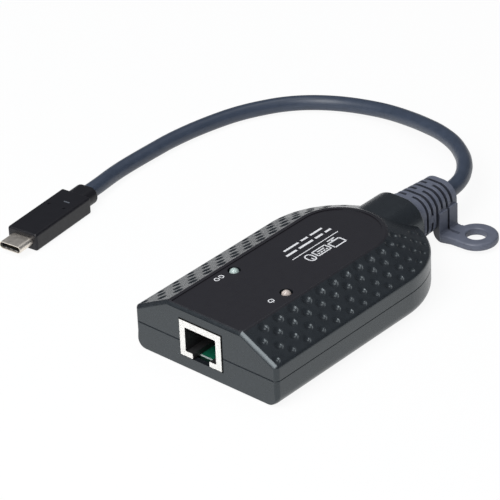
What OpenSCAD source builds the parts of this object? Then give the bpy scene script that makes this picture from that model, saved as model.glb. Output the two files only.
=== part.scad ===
// USB-C console adapter with a network jack, a captive cord and a hanging ring.
// X runs across the housing, -Y points out of the jack, +Z is up.
// The origin lies on the base plane, under the centre of the housing's round end.

/* [Housing] */
// Width of the housing
housing_w = 55.3; // [52:0.1:62]
// Length from the front face to the centre of the round end
straight_len = 61; // [58:0.5:70]
// Height up to the rim of the label field
housing_h = 20.8; // [20.3:0.1:23]
// Height of the upright sides, where the slopes begin
side_h = 13.8; // [13:0.1:15]
// Height of the joint between the two covers
parting_h = 9; // [8.4:0.1:9.6]
// Width of the flat top between the slopes
plateau_w = 28.4; // [26.5:0.1:31]
// Wall thickness of both covers
wall = 1.8; // [1.4:0.1:2.1]
// Thickness of the floor
floor_t = 2; // [1.6:0.1:2.4]
// Radius along the lower edge
edge_r = 3.8; // [1.5:0.1:4]
// Width of the raised rim around the label field
rim_w = 1.1; // [0.6:0.1:1.6]
// Depth of the label field below its rim
label_depth = 0.3; // [0.1:0.05:0.5]

/* [Cord neck] */
// Width of the neck that holds the strain relief
neck_w = 20.6; // [19.4:0.1:22]
// Height of the neck from its underside to its top
neck_h = 19.6; // [18.8:0.1:20.2]
// Corner radius of the neck's section
neck_r = 8.2; // [6:0.1:8.8]
// Length of the neck beyond the housing's round end
neck_out = 1.35; // [1:0.05:4]
// Thickness of the neck's end wall
neck_wall = 2; // [1.6:0.1:2.4]
// Height of the cord's axis where it leaves the neck
cord_h = 10.2; // [10:0.1:10.8]

/* [Screws] */
// Distance of the screws from the centre plane
screw_x = 21; // [20:0.1:21.5]
// Distance from the front face to the front pair of screws
screw_setback = 10; // [9:0.1:11]
// Radius on which the rear pair of screws lies
screw_ring_r = 20.5; // [20:0.1:21]
// Angle of the rear pair from the X axis
screw_angle = 35; // [32:1:38]
// Outer radius of the screw bosses
boss_r = 3.6; // [3.4:0.05:3.8]
// Radius of the screw's head
screw_head_r = 2.3; // [2:0.05:2.4]
// Height of the screw's head
screw_head_h = 1.6; // [1.2:0.1:2]
// Radius of the screw's shank
screw_r = 1.3; // [1.1:0.05:1.4]
// Height of the face on which the screw's head seats
screw_seat_h = 6.5; // [6:0.1:7]

/* [Network jack] */
// Width of the jack
jack_w = 16; // [15.4:0.1:16.6]
// Free height between the jack and the roof
jack_headroom = 2.5; // [2.2:0.1:3]
// Length of the jack
jack_len = 18; // [17:0.1:18.8]
// Sideways place of the jack's middle
jack_x = -1.3; // [-2:0.1:0]
// Thickness of the jack's sheet metal shield
shield_t = 0.3; // [0.2:0.05:0.4]
// Width of the jack's opening
port_w = 11.9; // [11.7:0.1:12.2]
// Height of the jack's frame above its opening
port_head = 2.1; // [1.9:0.1:2.3]
// Depth of the jack's opening
port_depth = 12.5; // [11.5:0.1:13]
// Height of the lip below the opening
lip_h = 1.7; // [1.5:0.1:1.9]
// Width of the notch for the plug's latch
latch_w = 6.5; // [6.2:0.1:6.8]
// Number of contacts
contact_n = 8; // [8]
// Pitch of the contacts
contact_pitch = 1.02; // [1:0.01:1.1]

/* [Circuit board] */
// Thickness of the board
board_t = 1.6; // [1.2:0.1:1.8]
// Height of the pads that carry the board
pad_h = 0.9; // [0.7:0.1:1]
// Distance from the front face to the board
board_setback = 3; // [2.6:0.1:3.4]
// Gap between the board and the side walls
board_gap = 1.6; // [1.3:0.1:2]

/* [Status lamps] */
// Distance of the two lamps from the centre plane
led_x = 10.1; // [9.6:0.1:10.6]
// Distance from the front face to the lamps
led_setback = 25.1; // [24.5:0.1:27]
// Diameter of a lamp's lens
led_d = 3; // [2.8:0.1:3.2]
// Diameter of the hole round a lamp
led_hole_d = 4; // [3.7:0.1:4.4]
// Height of the dome above the label field
led_rise = 0.6; // [0.3:0.1:1]

/* [Strain relief] */
// Length of the strain relief behind the neck
relief_len = 20; // [19:0.1:22]
// Width and height of its section at the neck
relief_w = 15; // [14.6:0.1:15.6]
// Width and height of its section at the cord
relief_end_w = 13.2; // [12.6:0.1:13.8]
// Corner radius of its section
relief_r = 5.2; // [4.5:0.1:5.6]
// Length of the plain part at the neck
plain_front = 4.1; // [3.6:0.1:4.6]
// Length of the plain part at the cord
plain_back = 2.1; // [1.6:0.1:2.6]
// Number of cross slots
slot_n = 6; // [6]
// Width of a cross slot
slot_w = 1.2; // [0.9:0.05:1.3]
// Depth of a cross slot
slot_depth = 1.7; // [1.3:0.1:1.9]
// Width of the webs that join the ribs
web_w = 2.4; // [2:0.1:2.8]

/* [Hanging ring] */
// Outer radius of the ring
ring_r = 7; // [6.6:0.1:7.4]
// Radius of the hole in the ring
ring_hole_r = 3.2; // [2.8:0.05:3.4]
// Thickness of the ring and its strap
ring_t = 2.6; // [2.2:0.1:3]
// Height of the ring's underside
ring_h = 0.9; // [0.6:0.1:1.4]
// Sideways place of the ring's centre
ring_x = 16; // [15.5:0.1:17]
// Distance from the neck's end face to the ring's centre
ring_y = 17.8; // [17:0.1:18.5]
// Width of the strap
strap_w = 9; // [8.6:0.1:9.4]
// Distance from the centre plane to the strap's outer face
strap_x = 7.5; // [7.3:0.1:7.9]
// Height of the strap's top end
strap_top = 10.8; // [10.4:0.1:11.2]
// Outer radius of the strap's bend
bend_r = 3.2; // [3.1:0.1:3.6]
// Width of the groove along the strap
strap_slot_w = 1.1; // [0.8:0.1:1.4]
// Depth of the groove along the strap
strap_slot_depth = 0.8; // [0.5:0.1:1]

/* [Cord] */
// Diameter of the cord
cord_d = 5.2; // [4.9:0.1:5.3]

/* [USB-C plug] */
// Width of the plug's moulded grip
grip_w = 11.6; // [11.2:0.1:12.3]
// Height of the plug's moulded grip
grip_h = 6.2; // [6:0.1:6.5]
// Length of the plug's moulded grip
grip_len = 27.7; // [26.5:0.1:29]
// Edge radius of the grip
grip_r = 1; // [0.6:0.1:1.3]
// Width of the collar behind the grip
collar_w = 8.8; // [8.2:0.1:9.4]
// Height of the collar behind the grip
collar_h = 6; // [5.8:0.1:6.1]
// Length of the collar behind the grip
collar_len = 6.1; // [5.5:0.1:6.7]
// Width of the plug's metal shell
shell_w = 8.34; // [8.2:0.01:8.4]
// Thickness of the plug's metal shell across its flats
shell_h = 2.56; // [2.5:0.01:2.6]
// Length of shell that stands out of the grip
shell_len = 6.2; // [5.9:0.1:6.65]
// Sheet thickness of the shell
shell_t = 0.3; // [0.2:0.05:0.35]

/* [Hidden] */
// Overrun of every cut
eps = 0.5;
// Running gap between pieces that are put together
fit = 0.1;
// Gap round the jack in the front wall
jack_gap = 0.4;
// Distance that the jack's face stands out of the front face
jack_out = 0.3;
// Share of the edge radius that the inner corner is cut by
inner_corner_share = 0.4;
// Gap between the board and the bosses
boss_gap = 0.4;
// Length of the lamps' legs below the board
leg_stub = 0.35;
// Steps of an arc that is drawn as an outline
arc_steps = 8;

// Height, thickness and depth below the joint of the lip that locates the covers
tongue_h = 1.2;
tongue_t = 0.9;
tongue_root = 2;

// Radii of the posts that clamp the board and of the pads below them
post_r = 1.5;
pad_r = 2.2;
// Places of the posts as shares of the board's half width and of its length
post_shares = [[-0.93, 0.57], [0.93, 0.57]];
// Places of the plain pads, as shares
pad_shares = [[-0.35, 0.1], [0.35, 0.1], [-0.3, 0.8], [0.3, 0.8]];

// Sizes of the parts on the board: width, length and height
transformer_size = [9.5, 12.7, 5.9];
processor_size = [14, 14, 1.4];
video_size = [7, 7, 0.9];
memory_size = [7, 11, 1.1];
flash_size = [4, 4, 1.5];
regulator_size = [6.5, 3.5, 1.6];
inductor_size = [6, 6, 3];
crystal_size = [11.4, 4.7, 3.5];
ceramic_size = [0.8, 1.6, 0.8];
can_r = 2.5;
can_h = 5.4;
can_base_h = 0.6;
// Free space kept between parts that follow each other
part_gap = 1.6;
// Reach, width and thickness of a chip's bent leads
lead_reach = 1;
lead_w = 0.3;
lead_t = 0.15;
processor_lead_n = 16;
memory_lead_n = 12;
transformer_lead_n = 8;
regulator_lead_n = 3;
flash_lead_n = 4;
// Rows of leads as shares of the side that they stand on
lead_row_share = 0.86;

// Places on the board as shares of its half width and of its length
video_shares = [-0.66, 0.61];
memory_shares = [0.64, 0.56];
flash_shares = [-0.72, 0.21];
regulator_shares = [-0.8, 0.34];
inductor_shares = [0.57, 0.74];
crystal_shares = [-0.65, 0.44];
can_shares = [[0.8, 0.2], [0.8, 0.3]];
ceramic_shares = [[0.4, 0.38], [0.52, 0.38], [0.64, 0.38], [-0.15, 0.69], [0, 0.69], [0.15, 0.69],
    [-0.5, 0.72], [-0.6, 0.72], [0.3, 0.69], [-0.3, 0.69]];

// Lamp legs and their spacers
leg_r = 0.25;
leg_pitch = 2.54;
led_flange_r = 1.9;
led_flange_h = 1;
led_body_h = 3.8;
spacer_r = 2.2;
spacer_bore_r = 1.65;
leg_hole_r = 0.45;

// Wire header, its plug and the wires that end in it
header_size = [14, 6, 5.4];
header_t = 0.8;
wire_cols = 4;
wire_rows = 2;
wire_pitch = 2.4;
wire_row_pitch = 1.8;
wire_r = 0.5;
wire_bundle_r = 1.4;
wire_run = 9;
wire_steps = 8;
wire_sides = 8;
pin_w = 0.5;
pin_len = 3.4;
wire_plug_len = 7;

// Strain relief inside the neck
waist_w = 11;
waist_r = 2.5;
flange_w = 14.8;
flange_len = 2.2;
cord_fit = 0.05;
tail_reach = 9;

// Plug details
grip_pocket = 5;
insert_gap = 0.05;
mouth_inset = 0.6;
mouth_w = 6.9;
mouth_h = 1.3;
mouth_depth = 5.2;
pad_n = 12;
pad_pitch = 0.5;
pad_w = 0.26;
pad_t = 0.12;
pad_len = 3.6;
spring_n = 3;
spring_pitch = 2;
spring_size = [0.9, 1.3, 0.18];
plug_board_size = [7.4, 14, 0.8];
head_len = 12;
dimple_r = 0.5;
dimple_depth = 0.3;
dimple_x = 3;
dimple_back = 10;

// Heights and places that follow from the sizes above
half_w = housing_w / 2;
neck_end = half_w + neck_out;
half_top = plateau_w / 2;
front_y = -straight_len;
slope_run = half_w - half_top;
slope_rise = housing_h - side_h;
slope_angle = atan2(slope_rise, slope_run);
board_bottom = floor_t + pad_h;
board_top = board_bottom + board_t;
board_half = half_w - wall - board_gap;
board_front = front_y + board_setback;
board_len = board_half - board_front;
jack_front = front_y - jack_out;
jack_back = jack_front + jack_len;
jack_h = housing_h - wall - jack_headroom - board_top;
port_h = jack_h - lip_h - port_head;
port_bottom = board_top + lip_h;
port_top = port_bottom + port_h;
led_y = front_y + led_setback;
label_h = housing_h - label_depth;
led_top = label_h + led_rise;
led_base = led_top - led_d / 2 - led_body_h;
transformer_y = jack_back + part_gap + transformer_size.y / 2;
processor_y = transformer_y + (transformer_size.y + processor_size.y) / 2 + lead_reach + 2 * part_gap;
relief_end = neck_end + relief_len;
rib_w = (relief_len - plain_front - plain_back - slot_n * slot_w) / (slot_n - 1);
slot_pitch = rib_w + slot_w;
slot_first = neck_end + plain_front + slot_w / 2;
strap_mid = slot_first + 4 * slot_pitch;
ring_mid = neck_end + ring_y;
tail_end = neck_end - neck_wall - tail_reach;
header_y = tail_end - wire_run - wire_plug_len + header_size.y / 2;
plug_axis_h = grip_h / 2;
screw_places = [[screw_x, front_y + screw_setback], [-screw_x, front_y + screw_setback],
    [screw_ring_r * cos(screw_angle), screw_ring_r * sin(screw_angle)],
    [-screw_ring_r * cos(screw_angle), screw_ring_r * sin(screw_angle)]];

// The cord's route, chosen by hand: out of the strain relief, down to the table and round to the plug
cord_route = [[0, relief_end, cord_h], [0, 54, 10.2], [-1, 60, 10.2], [-3.5, 65.5, 10],
    [-7, 70.5, 10], [-12, 75.5, 9.5], [-19, 80.5, 9], [-27, 84, 8.5], [-35, 86.5, 7.5],
    [-44, 89, 6], [-55, 90.5, 4.5], [-65.5, 89.5, 3.5], [-74.5, 87, 2.8], [-82, 82.5, 2.6],
    [-88, 76.5, 2.6], [-92.5, 69.5, 2.6], [-96, 62, 2.6], [-98.5, 53.5, 2.6], [-100.5, 43, 2.6],
    [-101.5, 32, 2.6], [-101.5, 20, 2.6], [-101, 8, 2.6], [-99.2, -1.5, plug_axis_h],
    [-98.5, -7.7, plug_axis_h]];
cord_sides = 12;
cord_last = len(cord_route) - 1;
plug_at = cord_route[cord_last];
plug_turn = atan2(plug_at.x - cord_route[cord_last - 1].x, cord_route[cord_last - 1].y - plug_at.y);

$fn = 48;

// Height of the outer roof at a distance from the centre plane or from the round end's axis
function roof_h(x) = x < half_top ? housing_h : housing_h - (x - half_top) * tan(slope_angle);

// Point on the board for a pair of shares
function on_board(shares) = [shares.x * board_half, board_front + shares.y * board_len];

// Points of an arc about c from angle a to angle b
function arc(c, r, a, b) = [for (i = [0:arc_steps]) let (t = a + (b - a) * i / arc_steps)
    [c.x + r * cos(t), c.y + r * sin(t)]];

// Right half of the housing's outer section, from the centre plane outwards
function outer_half() = concat([[0, 0]], arc([half_w - edge_r, edge_r], edge_r, -90, 0),
    [[half_w, side_h], [half_top, housing_h], [0, housing_h]]);

// Right half of the cavity's section
function inner_half() = let (
    x = half_w - wall,
    cut = edge_r * inner_corner_share,
    drop = wall / cos(slope_angle),
    top = housing_h - wall)
    [[0, floor_t], [x - cut, floor_t], [x, floor_t + cut], [x, roof_h(x) - drop],
        [half_top - (drop - wall) / tan(slope_angle), top], [0, top]];

function mirrored(points) = concat(points, [for (i = [len(points) - 1:-1:0]) [-points[i].x, points[i].y]]);

function unit(v) = v / norm(v);

// Direction of a route at point i
function heading(route, i) = unit(route[min(i + 1, len(route) - 1)] - route[max(i - 1, 0)]);

// A closed tube along a route, as points and triangles
function tube_points(route, r, sides) = [for (i = [0:len(route) - 1])
    let (t = heading(route, i), s = unit(cross(t, [0, 0, 1])), u = cross(s, t))
    for (k = [0:sides - 1]) route[i] + r * (cos(360 * k / sides) * s + sin(360 * k / sides) * u)];

function tube_faces(rings, sides) = let (e = (rings - 1) * sides) concat(
    [for (k = [1:sides - 2]) [0, k + 1, k]],
    [for (k = [1:sides - 2]) [e, e + k, e + k + 1]],
    [for (i = [0:rings - 2], k = [0:sides - 1]) let (a = i * sides, n = (k + 1) % sides)
        [a + k, a + n, a + sides + n]],
    [for (i = [0:rings - 2], k = [0:sides - 1]) let (a = i * sides, n = (k + 1) % sides)
        [a + k, a + sides + n, a + sides + k]]);

module tube(route, r, sides) {
    polyhedron(points = tube_points(route, r, sides), faces = tube_faces(len(route), sides));
}

// Flat outline with round corners, about the origin
module round_rect(w, h, r) {
    square([w - 2 * r, h], center = true);
    square([w, h - 2 * r], center = true);
    for (x = [-1, 1], y = [-1, 1])
        translate([x * (w / 2 - r), y * (h / 2 - r)]) circle(r = r);
}

// Bar along Y between two planes with a round_rect section, about the cord's axis
module cord_bar(from_y, to_y, w, h, r) {
    translate([0, to_y, cord_h]) rotate([90, 0, 0]) linear_extrude(to_y - from_y) round_rect(w, h, r);
}

// Box by width, length and height, standing at a place
module block(place, size, h) {
    translate([place.x - size.x / 2, place.y - size.y / 2, h]) cube(size);
}

// Solid with the housing's plan: straight sides and a round end, from a half section
module d_solid(half, from_y) {
    rotate([90, 0, 0]) linear_extrude(-from_y) polygon(mirrored(half));
    rotate_extrude(angle = 180, $fn = 96) polygon(half);
}

// Upright plate with the housing's plan, set in from its sides and from its front
module d_plate(half, from_y, h, t) {
    translate([-half, from_y, h]) cube([2 * half, -from_y, t]);
    translate([0, 0, h]) cylinder(r = half, h = t, $fn = 96);
}

module outer_shape() {
    d_solid(outer_half(), front_y);
    cord_bar(half_top, neck_end, neck_w, neck_h, neck_r);
}

module inner_shape() {
    d_solid(inner_half(), front_y + wall);
    cord_bar(0, neck_end - neck_wall, neck_w - 2 * wall, neck_h - 2 * wall, neck_r - wall);
    cord_bar(0, neck_end + eps, waist_w + 2 * fit, waist_w + 2 * fit, waist_r);
}

// Opening for the jack in the front wall
module jack_opening() {
    translate([jack_x - jack_w / 2 - jack_gap, front_y - eps, board_top - jack_gap])
        cube([jack_w + 2 * jack_gap, wall + 2 * eps, jack_h + 2 * jack_gap]);
}

// Space above or below the joint between the covers
module above_joint() {
    translate([-housing_w, front_y - eps, parting_h])
        cube([2 * housing_w, 2 * straight_len + neck_end, housing_h]);
}

module top_cover() color("#26282b") {
    roof_hole = roof_h(screw_x) - wall;
    intersection() {
        above_joint();
        difference() {
            outer_shape();
            difference() {
                inner_shape();
                for (p = screw_places) translate([p.x, p.y, 0]) cylinder(r = boss_r, h = housing_h);
            }
            jack_opening();
            for (p = screw_places) translate([p.x, p.y, 0]) cylinder(r = screw_r + fit / 2, h = screw_tip + fit);
            for (x = [-led_x, led_x]) translate([x, led_y, led_base]) cylinder(d = led_hole_d, h = housing_h);
            d_plate(half_top - rim_w, front_y + rim_w, label_h, label_depth + eps);
        }
    }
    for (s = post_shares) board_post(on_board(s));
}

// Length that keeps the screw's tip below the roof over it
screw_tip = roof_h(screw_x + screw_r) - wall;

// Post that reaches from the roof down to the board
module board_post(p) {
    translate([p.x, p.y, board_top]) cylinder(r = post_r, h = roof_h(abs(p.x) + post_r) - wall / 2 - board_top);
}

module bottom_cover() color("#232527") {
    difference() {
        outer_shape();
        above_joint();
        difference() {
            inner_shape();
            for (p = screw_places) translate([p.x, p.y, 0]) cylinder(r = boss_r, h = parting_h);
        }
        jack_opening();
        for (p = screw_places) translate([p.x, p.y, 0]) {
            translate([0, 0, -eps]) cylinder(r = screw_head_r + fit, h = screw_seat_h + eps);
            cylinder(r = screw_r + fit, h = parting_h + eps);
        }
    }
    for (s = concat(post_shares, pad_shares)) translate([on_board(s).x, on_board(s).y, floor_t - fit])
        cylinder(r = pad_r, h = pad_h + fit);
    locating_tongue();
}

// Lip inside the joint, open at the jack and at the neck
module locating_tongue() {
    half = half_w - wall;
    difference() {
        union() {
            d_plate(half + fit, front_y + wall - fit, parting_h - tongue_root, tongue_root);
            d_plate(half - fit, front_y + wall + fit, parting_h - tongue_root, tongue_root + tongue_h);
        }
        d_plate(half - tongue_t, front_y + wall + tongue_t, parting_h - tongue_root - eps,
            tongue_root + tongue_h + 2 * eps);
        translate([jack_x - jack_w / 2 - jack_gap, front_y, 0])
            cube([jack_w + 2 * jack_gap, straight_len / 2, housing_h]);
        cord_bar(0, neck_end, neck_w - 2 * wall, neck_h - 2 * wall, neck_r - wall);
        for (p = screw_places) translate([p.x, p.y, 0]) cylinder(r = boss_r + fit, h = housing_h);
    }
}

module cover_screws() color("#8d9196") {
    for (p = screw_places) translate([p.x, p.y, screw_seat_h]) {
        difference() {
            translate([0, 0, -screw_head_h]) cylinder(r = screw_head_r, h = screw_head_h);
            for (a = [0, 90]) rotate([0, 0, a])
                translate([-screw_head_r / 2, -screw_r / 4, -screw_head_h - eps])
                    cube([screw_head_r, screw_r / 2, screw_head_h / 2 + eps]);
        }
        cylinder(r = screw_r, h = screw_tip - screw_seat_h);
    }
}

module circuit_board() color("#1d6b3a") {
    difference() {
        d_plate(board_half, board_front, board_bottom, board_t);
        for (p = screw_places) translate([p.x, p.y, 0]) cylinder(r = boss_r + boss_gap, h = parting_h);
        for (x = [-led_x, led_x], s = [-1, 1])
            translate([x + s * leg_pitch / 2, led_y, 0]) cylinder(r = leg_hole_r, h = parting_h);
    }
}

// Port with the latch's channel below it, which is open down to the board
module port_cut(depth) {
    translate([jack_x - port_w / 2, jack_front - eps, port_bottom]) cube([port_w, depth + eps, port_h]);
    translate([jack_x - latch_w / 2, jack_front - eps, board_top - eps]) cube([latch_w, depth + eps, lip_h + 2 * eps]);
}

module jack_shield() color("#d8d6cf") {
    difference() {
        translate([jack_x - jack_w / 2, jack_front, board_top]) cube([jack_w, jack_len, jack_h]);
        translate([jack_x - jack_w / 2 + shield_t, jack_front + shield_t, board_top + shield_t])
            cube([jack_w - 2 * shield_t, jack_len - 2 * shield_t, jack_h - 2 * shield_t]);
        port_cut(shield_t + fit);
        translate([jack_x - latch_w / 2, jack_front - eps, board_top - eps])
            cube([latch_w, port_depth + eps, shield_t + 2 * eps]);
    }
}

module jack_insert() color("#141414") {
    inset = shield_t + fit / 2;
    difference() {
        translate([jack_x - jack_w / 2 + inset, jack_front + inset, board_top + inset])
            cube([jack_w - 2 * inset, jack_len - 2 * inset, jack_h - 2 * inset]);
        port_cut(port_depth);
        for (i = [0:contact_n - 1]) contact(i, fit);
    }
}

// Height and reach of the contact springs inside the port, and their wire width
contact_w = 0.45;
contact_drop = 2.6;
contact_seat = 2.2;

// One contact: a wire that hangs from the port's roof and runs back into the insert
module contact(i, grow) {
    x = jack_x + (i - (contact_n - 1) / 2) * contact_pitch;
    y0 = jack_front + contact_seat;
    y1 = jack_front + port_depth - contact_seat / 2;
    w = contact_w + 2 * grow;
    translate([x + w / 2, 0, 0]) rotate([0, -90, 0]) linear_extrude(w)
        polygon([[port_top - grow, y0 - grow], [port_top + contact_w + grow, y0 - grow],
            [port_top + contact_w + grow, y0 + contact_w + grow],
            [port_top - contact_drop + contact_w + grow, y1 + contact_seat + grow],
            [port_top - contact_drop - grow, y1 + contact_seat + grow],
            [port_top - contact_drop - grow, y1]]);
}

module jack_contacts() color("#d9a63a") {
    for (i = [0:contact_n - 1]) contact(i, 0);
}

// Lamp: flange, barrel and dome
module lamp(x) {
    translate([x, led_y, led_base]) {
        cylinder(r = led_flange_r, h = led_flange_h);
        cylinder(d = led_d, h = led_body_h);
        translate([0, 0, led_body_h]) sphere(d = led_d);
    }
}

module link_led() color("#cfe6dc") lamp(-led_x);

module power_led() color("#e6d6c8") lamp(led_x);

module led_legs() color("#b9bcc0") {
    leg_bottom = board_bottom - leg_stub;
    for (x = [-led_x, led_x], s = [-1, 1])
        translate([x + s * leg_pitch / 2, led_y, leg_bottom]) cylinder(r = leg_r, h = led_base - leg_bottom, $fn = 16);
}

module led_spacers() color("#1b1b1b") {
    for (x = [-led_x, led_x]) translate([x, led_y, board_top]) difference() {
        cylinder(r = spacer_r, h = led_base - board_top);
        translate([0, 0, -eps]) cylinder(r = spacer_bore_r, h = led_base - board_top + 2 * eps);
    }
}

// Row of bent leads along X, on one side of a body that stands on the board
module lead_row(n, row, body_edge, body_h, side) {
    pitch = row * lead_row_share / n;
    for (i = [0:n - 1]) translate([(i - (n - 1) / 2) * pitch - lead_w / 2, 0, 0])
        rotate([90, 0, 90]) linear_extrude(lead_w)
            polygon([[side * body_edge, body_h / 2], [side * (body_edge + lead_reach / 2), body_h / 2],
                [side * (body_edge + lead_reach / 2), lead_t], [side * (body_edge + lead_reach), lead_t],
                [side * (body_edge + lead_reach), 0], [side * (body_edge + lead_reach / 2 - lead_t), 0],
                [side * (body_edge + lead_reach / 2 - lead_t), body_h / 2 - lead_t],
                [side * body_edge, body_h / 2 - lead_t]]);
}

// Chip body that stands a lead's thickness above the board, with leads on two or four sides
module chip(place, size, n, sides) {
    translate([place.x, place.y, board_top]) {
        translate([-size.x / 2, -size.y / 2, lead_t]) cube([size.x, size.y, size.z - lead_t]);
        for (s = [-1, 1]) lead_row(n, size.x, size.y / 2, size.z, s);
        if (sides == 4) rotate([0, 0, 90]) for (s = [-1, 1]) lead_row(n, size.y, size.x / 2, size.z, s);
    }
}

module network_transformer() color("#1a1a1c") chip([0, transformer_y], transformer_size, transformer_lead_n, 2);

module processor_chip() color("#202226") chip([0, processor_y], processor_size, processor_lead_n, 4);

module memory_chip() color("#202226") chip(on_board(memory_shares), memory_size, memory_lead_n, 2);

module flash_chip() color("#202226") chip(on_board(flash_shares), flash_size, flash_lead_n, 2);

module voltage_regulator() color("#202226") chip(on_board(regulator_shares), regulator_size, regulator_lead_n, 2);

module video_chip() color("#2a2c30") {
    p = on_board(video_shares);
    block(p, video_size, board_top);
    for (s = [-1, 1]) block([p.x + s * video_size.x * lead_row_share / 2, p.y],
        [lead_w, video_size.y * lead_row_share, video_size.z + lead_t], board_top);
}

module power_inductor() color("#3b3d40") {
    p = on_board(inductor_shares);
    translate([p.x, p.y, board_top]) difference() {
        linear_extrude(inductor_size.z) round_rect(inductor_size.x, inductor_size.y, can_base_h);
        translate([0, 0, inductor_size.z - can_base_h]) difference() {
            cylinder(d = inductor_size.x - can_base_h, h = can_base_h + eps);
            cylinder(d = inductor_size.x / 2, h = can_base_h + eps);
        }
    }
}

module crystal() color("#b8bcc0") {
    p = on_board(crystal_shares);
    translate([p.x, p.y, board_top]) {
        linear_extrude(can_base_h) round_rect(crystal_size.x, crystal_size.y, crystal_size.y / 2 - fit);
        linear_extrude(crystal_size.z)
            round_rect(crystal_size.x - can_base_h, crystal_size.y - can_base_h, (crystal_size.y - can_base_h) / 2 - fit);
    }
}

module filter_capacitors() color("#aab0b6") {
    for (s = can_shares) translate([on_board(s).x, on_board(s).y, board_top]) {
        translate([-can_r, -can_r, 0]) cube([2 * can_r, 2 * can_r, can_base_h]);
        cylinder(r = can_r, h = can_h);
    }
}

module ceramic_capacitors() color("#b58a5a") {
    for (s = ceramic_shares) block(on_board(s), ceramic_size, board_top);
}

// Space inside the header that takes the wire plug, open towards the cord
module header_pocket(gap) {
    translate([-header_size.x / 2 + header_t - gap, header_y - header_size.y / 2 + header_t, board_top + header_t - gap])
        cube([header_size.x - 2 * header_t + 2 * gap, wire_plug_len + gap, header_size.z - 2 * header_t + 2 * gap]);
}

module wire_header() color("#e9e4d6") {
    difference() {
        block([0, header_y], header_size, board_top);
        translate([0, fit, 0]) header_pocket(0);
        pin_rows(fit);
    }
}

// Place of wire i in row j of the header, at its pins
function pin_x(i) = (i - (wire_cols - 1) / 2) * wire_pitch;
function pin_z(j) = board_top + header_size.z / 2 + (j - (wire_rows - 1) / 2) * wire_row_pitch;

module pin_rows(gap) {
    for (i = [0:wire_cols - 1], j = [0:wire_rows - 1])
        translate([pin_x(i) - pin_w / 2 - gap, header_y - header_size.y / 2 - pin_w - gap, pin_z(j) - pin_w / 2 - gap])
            cube([pin_w + 2 * gap, pin_len + 2 * gap, pin_w + 2 * gap]);
}

module header_pins() color("#d9b25a") pin_rows(0);

module wire_plug() color("#f2efe6") {
    difference() {
        translate([0, fit, 0]) header_pocket(-fit);
        pin_rows(fit);
    }
}

// Route of one lead from the cord's end to the wire plug, easing from one to the other
function wire_route(i, j) = let (
    a = (j == 0 ? -1 : 1) * (180 * (wire_cols - i - 0.5) / wire_cols),
    plug_y = header_y - header_size.y / 2 + header_t + wire_plug_len)
    [for (k = [0:wire_steps]) let (t = k / wire_steps, e = t * t * (3 - 2 * t))
        [wire_bundle_r * cos(a) * (1 - e) + pin_x(i) * e,
            tail_end - fit + (plug_y - tail_end + 2 * fit) * t,
            (cord_h + wire_bundle_r * sin(a)) * (1 - e) + pin_z(j) * e]];

module lead_wires() color("#b23a32") {
    for (i = [0:wire_cols - 1], j = [0:wire_rows - 1]) tube(wire_route(i, j), wire_r, wire_sides);
}

module cable_tail() color("#3f4654") {
    translate([0, relief_end, cord_h]) rotate([90, 0, 0]) cylinder(d = cord_d, h = relief_end - tail_end);
}

// Width of the strain relief's section at a distance behind the neck
function relief_at(y) = relief_w + (relief_end_w - relief_w) * (y - neck_end) / relief_len;

module relief_rib(from_y, to_y) {
    w = relief_at((from_y + to_y) / 2);
    cord_bar(from_y, to_y, w, w, relief_r);
}

module relief_body() {
    back_y = relief_end - plain_back;
    core_w = relief_end_w - 2 * slot_depth;
    cord_bar(neck_end - neck_wall - flange_len, neck_end - neck_wall - fit, flange_w, flange_w, relief_r);
    cord_bar(neck_end - neck_wall - flange_len, neck_end + plain_front, waist_w, waist_w, waist_r);
    relief_rib(neck_end + fit, neck_end + plain_front);
    relief_rib(back_y, relief_end);
    cord_bar(neck_end + fit, relief_end, core_w, core_w, relief_r - slot_depth);
    for (i = [0:slot_n - 2]) relief_rib(slot_first + slot_w / 2 + i * slot_pitch,
        slot_first + slot_w / 2 + i * slot_pitch + rib_w);
    for (i = [0:slot_n - 1]) relief_web(slot_first + i * slot_pitch, i % 2 == 0);
}

// Web across one slot: upright where the slot opens to the sides, level where it opens up and down
module relief_web(y, upright) {
    w = relief_at(y) - 2 * fit;
    size = upright ? [web_w, slot_w + fit, w] : [w, slot_w + fit, web_w];
    translate([-size.x / 2, y - size.y / 2, cord_h - size.z / 2]) cube(size);
}

// Profile of the strap in the XZ plane: down beside the body, round the bend and out to the ring
module strap_profile(t) {
    bend = [strap_x - ring_t + bend_r, ring_h + bend_r];
    inner = bend_r - ring_t;
    translate([strap_x - t, bend.y]) square([t, strap_top - bend.y]);
    intersection() {
        translate(bend) difference() {
            circle(r = inner + t);
            circle(r = inner);
        }
        translate([bend.x - bend_r, bend.y - bend_r]) square(bend_r);
    }
}

module ring_and_strap() {
    bend_x = strap_x - ring_t + bend_r;
    top = ring_h + ring_t;
    slot_end = ring_x - ring_hole_r - strap_slot_w;
    difference() {
        union() {
            translate([0, strap_mid + strap_w / 2, 0]) rotate([90, 0, 0]) linear_extrude(strap_w)
                strap_profile(ring_t);
            translate([0, 0, ring_h]) linear_extrude(ring_t)
                polygon([[bend_x, strap_mid - strap_w / 2], [ring_x, ring_mid - ring_r],
                    [ring_x, ring_mid], [bend_x, strap_mid + strap_w / 2]]);
            translate([ring_x, ring_mid, ring_h]) cylinder(r = ring_r, h = ring_t, $fn = 72);
        }
        translate([ring_x, ring_mid, ring_h - eps]) cylinder(r = ring_hole_r, h = ring_t + 2 * eps);
        translate([0, strap_mid + strap_slot_w / 2, 0]) rotate([90, 0, 0]) linear_extrude(strap_slot_w) {
            strap_profile(strap_slot_depth);
            translate([bend_x, top - strap_slot_depth]) square([slot_end - bend_x, strap_slot_depth + eps]);
        }
    }
}

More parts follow.
